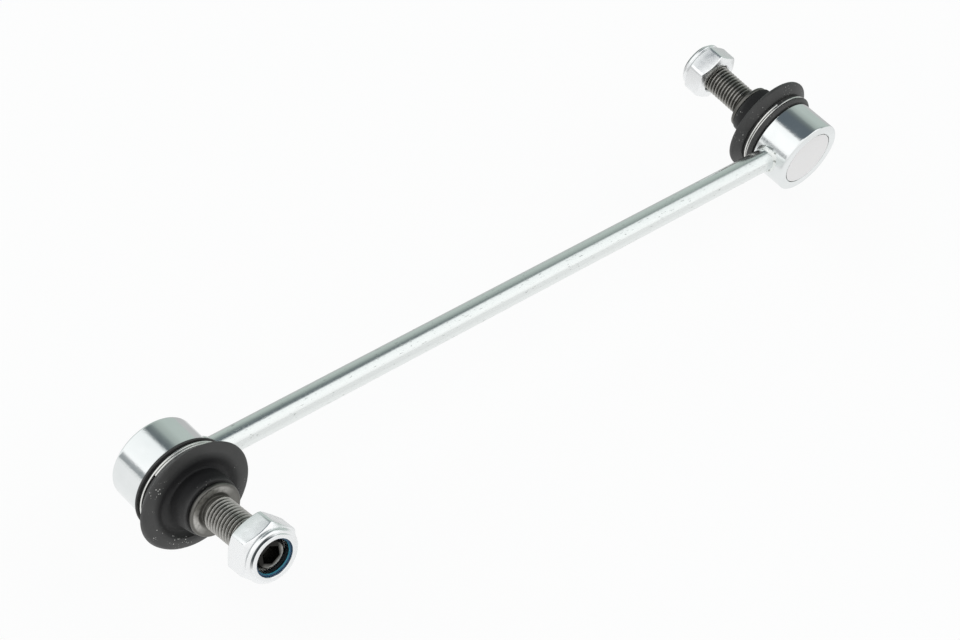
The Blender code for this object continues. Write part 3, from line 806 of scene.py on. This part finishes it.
def make_nut(side, place, base, turn, finish):
    """The lock nut: hexagon, chamfers, a bulged collar and its lip rolled over the nylon.

    It is turned as wide as its corners, and its flats are then pressed in.
    """
    corner = NUT_FLATS / math.sqrt(3)
    high = NUT_HEX_HEIGHT - (corner - NUT_COLLAR_FOOT) * NUT_SLOPE
    low = (corner - NUT_WASHER) * NUT_SLOPE
    section = (
        (NUT_LIP, NUT_HEIGHT, 0.35),
        (NUT_LIP, 11.3, 0.0),
        (NUT_LIP - 0.1, 11.05, 0.15),
        (NUT_LIP + 0.25, 11.0, 0.0),
        (8.9, 10.9, 0.3),
        (NUT_COLLAR, 10.4, 0.4),
        (NUT_COLLAR, 9.6, 0.3),
        (9.05, 9.3, 0.0),
        (NUT_COLLAR_FOOT, NUT_HEX_HEIGHT, 0.12),
        (NUT_COLLAR_FOOT + 0.4, NUT_HEX_HEIGHT - 0.21, 0.0),
        (corner, high, 0.3),
        (corner, low, 0.3),
        (NUT_WASHER, 0.0, 0.2),
        (NUT_BORE + 0.6, 0.0, 0.0),
        (NUT_BORE, 0.6, 0.0),
        (NUT_BORE, NUT_INSERT_SEAT, 0.0),
        (NUT_CAVITY, NUT_INSERT_SEAT, 0.0),
        (NUT_CAVITY, NUT_HEIGHT - 1.0, 0.3),
        (NUT_MOUTH, NUT_HEIGHT - 0.9, 0.2),
        (NUT_MOUTH, NUT_HEIGHT - 0.1, 0.3),
    )
    shape = turned(section, 144)
    middle = (high + low) / 2
    crease_shade = shape.verts.layers.float.new("crease_shade")
    turned_place = place.to_3x3() @ Matrix.Rotation(turn, 3, "Z")
    for vertex in shape.verts:
        radius = vertex.co.xy.length
        outward = (turned_place @ Vector((vertex.co.x, vertex.co.y, 0.0))).normalized()
        vertex[crease_shade] = painted_nut_shade(radius, vertex.co.z, outward.dot(SHADING_DIRECTION))
        if radius < corner - 0.35 or not low - 0.4 < vertex.co.z < high + 0.4:
            continue
        angle = math.atan2(vertex.co.y, vertex.co.x) % (60.0 * DEGREE) - 30.0 * DEGREE
        reach = min(NUT_FLATS / 2 / math.cos(angle), corner - 0.2)
        vertex.co.xy *= (radius + reach - corner) / radius
        vertex.co.z += math.copysign((corner - reach) * NUT_SLOPE, vertex.co.z - middle)
    turn_about(shape, turn, "Z")
    bmesh.ops.translate(shape, vec=(0, 0, base), verts=shape.verts)
    name, node = f"{side}_hex_nut", f"{side}_lock_nut"
    set_in_place(shape, name, place, finish, "bright_zinc", f"{side}_nut", node)


def make_insert(side, place, base, finish):
    """The nylon ring in the nut's collar."""
    outside = NUT_CAVITY - 0.3
    bottom = NUT_INSERT_SEAT + 0.2
    section = (
        (outside, NUT_HEIGHT - 1.2, 0.1),
        (outside, bottom, 0.1),
        (6.15, bottom, 0.2),
        (6.0, NUT_HEIGHT - 1.3, 0.2),
        (6.3, NUT_HEIGHT - 0.7, 0.2),
        (6.65, NUT_HEIGHT - 0.9, 0.15),
    )
    shape = turned(section)
    bmesh.ops.translate(shape, vec=(0, 0, base), verts=shape.verts)
    name, node = f"{side}_nylon_ring", f"{side}_nylon_insert"
    set_in_place(shape, name, place, finish, "blue_nylon", f"{side}_insert", node)


def make_end(side, middle, roll, tilt, nut_base, nut_turn, rim_drop, bead_slip):
    """Everything at one end of the link. The hidden bearing plastics keep their solids' shapes."""
    centre = Matrix.Translation((middle * CENTRES / 2 * MILLIMETRE, 0, 0))
    place = centre @ Matrix.Rotation(roll, 4, "X")
    rise = Matrix.Translation((0, 0, BALL_RISE * MILLIMETRE))
    lean = place @ rise @ Matrix.Rotation(tilt, 4, "X") @ rise.inverted()
    make_housing(side, place, turned_zinc(f"{side}_turned_zinc", place))
    make_end_cover(side, place, cover_zinc(f"{side}_cover_zinc", place))
    make_weld(side, middle, weld_finish(f"{side}_weld_metal"))
    rubber = dusty_rubber(f"{side}_dusty_rubber", place, DUST_SPOTS[side])
    make_boot(side, place, tilt, rim_drop, bead_slip, rubber)
    make_wire_ring(side, place, bead_slip, spring_wire(f"{side}_spring_wire", place))
    make_stud(side, lean, dark_steel(f"{side}_dark_steel", lean))
    make_nut(side, lean, nut_base, nut_turn, bright_zinc(f"{side}_bright_zinc", lean))
    nylon = blue_nylon(f"{side}_blue_nylon", lean, nut_base + NUT_HEIGHT)
    make_insert(side, lean, nut_base, nylon)
    plastic = pale_plastic(f"{side}_pale_plastic")
    for node in (f"{side}_ball_seat", f"{side}_neck_bush"):
        bpy.data.objects[node].data.materials.clear()
        bpy.data.objects[node].data.materials.append(plastic)


def light_studio():
    """A long white softbox overhead, pale walls, and dark gaps where the light's edges are.

    A direction's turn runs from 0 at the horizon ahead, which is halfway between X and Y, over
    the top to 1 at the horizon behind. Across says how far to the side it points. Each ramp of
    colours runs over the turn and fills a band of the directions across.
    """
    world = bpy.data.worlds.new("studio")
    bpy.context.scene.world = world
    world.use_nodes = True
    tree = world.node_tree
    coordinates = add_node(tree, "ShaderNodeTexCoord")
    parts = add_node(tree, "ShaderNodeSeparateXYZ")
    tree.links.new(coordinates.outputs["Generated"], parts.inputs["Vector"])
    diagonal = math.sqrt(0.5)
    ahead = math_node(tree, "ADD", parts.outputs["X"], parts.outputs["Y"])
    ahead = math_node(tree, "MULTIPLY", ahead, diagonal)
    across = math_node(tree, "SUBTRACT", parts.outputs["Y"], parts.outputs["X"])
    across = math_node(tree, "MULTIPLY", across, diagonal)
    angle = math_node(tree, "ARCTAN2", parts.outputs["Z"], ahead)
    turn = math_node(tree, "DIVIDE", angle, math.pi)
    degree = 1.0 / 180.0
    pale_wall = (0.50, 0.565, 0.535)
    soft_black = (0.12, 0.145, 0.165)
    left_gap = (0.33, 0.35, 0.36)
    wall = (
        (0.0, pale_wall),
        (28 * degree, pale_wall),
        (40 * degree, (0.42, 0.475, 0.45)),
        (47 * degree, (0.37, 0.42, 0.40)),
        (53 * degree, (0.20, 0.235, 0.235)),
    )
    sides = (
        *wall,
        (56 * degree, (0.17, 0.195, 0.20)),
        (63 * degree, (1.0, 1.03, 1.03)),
        (100 * degree, (1.10, 1.11, 1.11)),
        (130 * degree, (1.08, 1.08, 1.08)),
        (150 * degree, (1.02, 1.02, 1.02)),
        (164 * degree, (0.92, 0.92, 0.92)),
        (1.0, (0.85, 0.85, 0.85)),
    )
    middle = (
        *wall,
        (60 * degree, (0.15, 0.175, 0.18)),
        (68 * degree, soft_black),
        (98 * degree, soft_black),
        (104 * degree, (1.08, 1.09, 1.09)),
        (130 * degree, (1.02, 1.02, 1.02)),
        (150 * degree, (0.97, 0.97, 0.97)),
        (164 * degree, (0.92, 0.92, 0.92)),
        (1.0, (0.85, 0.85, 0.85)),
    )
    left = (
        (0.0, pale_wall),
        (63 * degree, (1.0, 1.03, 1.03)),
        (102 * degree, (1.08, 1.08, 1.08)),
        (111 * degree, left_gap),
        (146 * degree, left_gap),
        (158 * degree, (0.85, 0.86, 0.86)),
        (1.0, (0.92, 0.92, 0.92)),
    )
    right = (
        (0.0, pale_wall),
        (38 * degree, (0.55, 0.60, 0.58)),
        (45 * degree, (0.95, 0.98, 0.98)),
        (96 * degree, (1.10, 1.11, 1.11)),
        (110 * degree, (1.16, 1.16, 1.16)),
        (140 * degree, (1.16, 1.16, 1.16)),
        (160 * degree, (1.0, 1.0, 1.0)),
        (1.0, (0.88, 0.88, 0.88)),
    )
    slant = between(tree, turn, 60 * degree, 95 * degree, 0.0, 0.085)
    in_middle = between(tree, math_node(tree, "SUBTRACT", across, slant), 0.355, 0.385, 1.0, 0.0)
    in_middle = math_node(tree, "MINIMUM", between(tree, across, -0.46, -0.34), in_middle)
    in_right = between(tree, across, 0.44, 0.50)
    in_left = between(tree, across, 0.935, 0.955)
    skew = between(tree, across, -0.3, 0.3, -6 * degree, 6 * degree)
    skewed = math_node(tree, "ADD", turn, skew)
    colour = colour_ramp(tree, turn, sides)
    colour = blend_colours(tree, in_middle, colour, colour_ramp(tree, skewed, middle))
    colour = blend_colours(tree, in_right, colour, colour_ramp(tree, turn, right))
    colour = blend_colours(tree, in_left, colour, colour_ramp(tree, turn, left))
    from_slit = math_node(tree, "ABSOLUTE", math_node(tree, "SUBTRACT", across, 0.912))
    slit = between(tree, from_slit, 0.006, 0.018, 1.0, 0.0)
    slit = math_node(tree, "MULTIPLY", slit, between(tree, turn, 145 * degree, 155 * degree))
    colour = blend_colours(tree, slit, colour, (0.22, 0.24, 0.25))
    path = add_node(tree, "ShaderNodeLightPath")
    seen = blend_colours(tree, path.outputs["Is Camera Ray"], colour, (1.0, 1.0, 1.0))
    tree.links.new(seen, tree.nodes["Background"].inputs["Color"])


def lay_floor():
    """A plain pale floor, low enough for the studs to swing down above it.

    It takes the link's shadow. The camera sees it nearly white, and the plating mirrors it
    bright close by, in front and on the left, and darker further off.
    """
    material = bpy.data.materials.new("pale_floor")
    material.use_nodes = True
    tree = material.node_tree
    shader = tree.nodes["Principled BSDF"]
    shader.inputs["Base Color"].default_value = (0.86, 0.86, 0.86, 1.0)
    shader.inputs["Roughness"].default_value = 0.9
    shader.inputs["Specular IOR Level"].default_value = 0.1
    glow = add_node(tree, "ShaderNodeEmission")
    path = add_node(tree, "ShaderNodeLightPath")
    place = add_node(tree, "ShaderNodeTexCoord")
    parts = add_node(tree, "ShaderNodeSeparateXYZ")
    tree.links.new(place.outputs["Object"], parts.inputs["Vector"])
    near = between(tree, path.outputs["Ray Length"], 0.07, 0.135, 0.98, 0.52)
    front = between(tree, parts.outputs["Y"], 0.0, 0.06, 0.92, 0.5)
    left = between(tree, parts.outputs["X"], -0.20, -0.155, 0.96, 0.5)
    mirrored = math_node(tree, "MAXIMUM", left, math_node(tree, "MAXIMUM", near, front))
    bright = math_node(tree, "MULTIPLY", path.outputs["Is Camera Ray"], 1.04)
    tree.links.new(math_node(tree, "MAXIMUM", mirrored, bright), glow.inputs["Strength"])
    glossy, through = path.outputs["Is Glossy Ray"], path.outputs["Is Transmission Ray"]
    seen = math_node(tree, "MAXIMUM", glossy, through)
    seen = math_node(tree, "MAXIMUM", path.outputs["Is Camera Ray"], seen)
    mix = add_node(tree, "ShaderNodeMixShader")
    tree.links.new(math_node(tree, "MULTIPLY", seen, 0.85), mix.inputs["Fac"])
    tree.links.new(shader.outputs["BSDF"], mix.inputs[1])
    tree.links.new(glow.outputs["Emission"], mix.inputs[2])
    tree.links.new(mix.outputs["Shader"], tree.nodes["Material Output"].inputs["Surface"])
    shape = bmesh.new()
    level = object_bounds()[0][2] - FLOOR_DROP * MILLIMETRE
    bmesh.ops.create_grid(
        shape, x_segments=1, y_segments=1, size=4.0, matrix=Matrix.Translation((0, 0, level))
    )
    mesh = bpy.data.meshes.new("floor")
    shape.to_mesh(mesh)
    shape.free()
    mesh.materials.append(material)
    floor = bpy.data.objects.new("floor", mesh)
    bpy.context.scene.collection.objects.link(floor)


def aim_camera():
    """The camera, at the photograph's place and angle."""
    camera = bpy.data.objects.new("camera", bpy.data.cameras.new("camera"))
    bpy.context.scene.collection.objects.link(camera)
    camera.data.lens = 73.885
    camera.data.sensor_width = 36.0
    camera.data.clip_start = 0.01
    camera.matrix_world = Matrix((
        (0.747643, 0.39652, -0.53273, -0.391768),
        (-0.660773, 0.524366, -0.537047, -0.378187),
        (0.066396, 0.753533, 0.654048, 0.455128),
        (0.0, 0.0, 0.0, 1.0),
    ))
    bpy.context.scene.camera = camera


make_rod()
for end in ENDS:
    make_end(*end)
light_studio()
lay_floor()
aim_camera()
bpy.context.scene.view_settings.view_transform = "Standard"
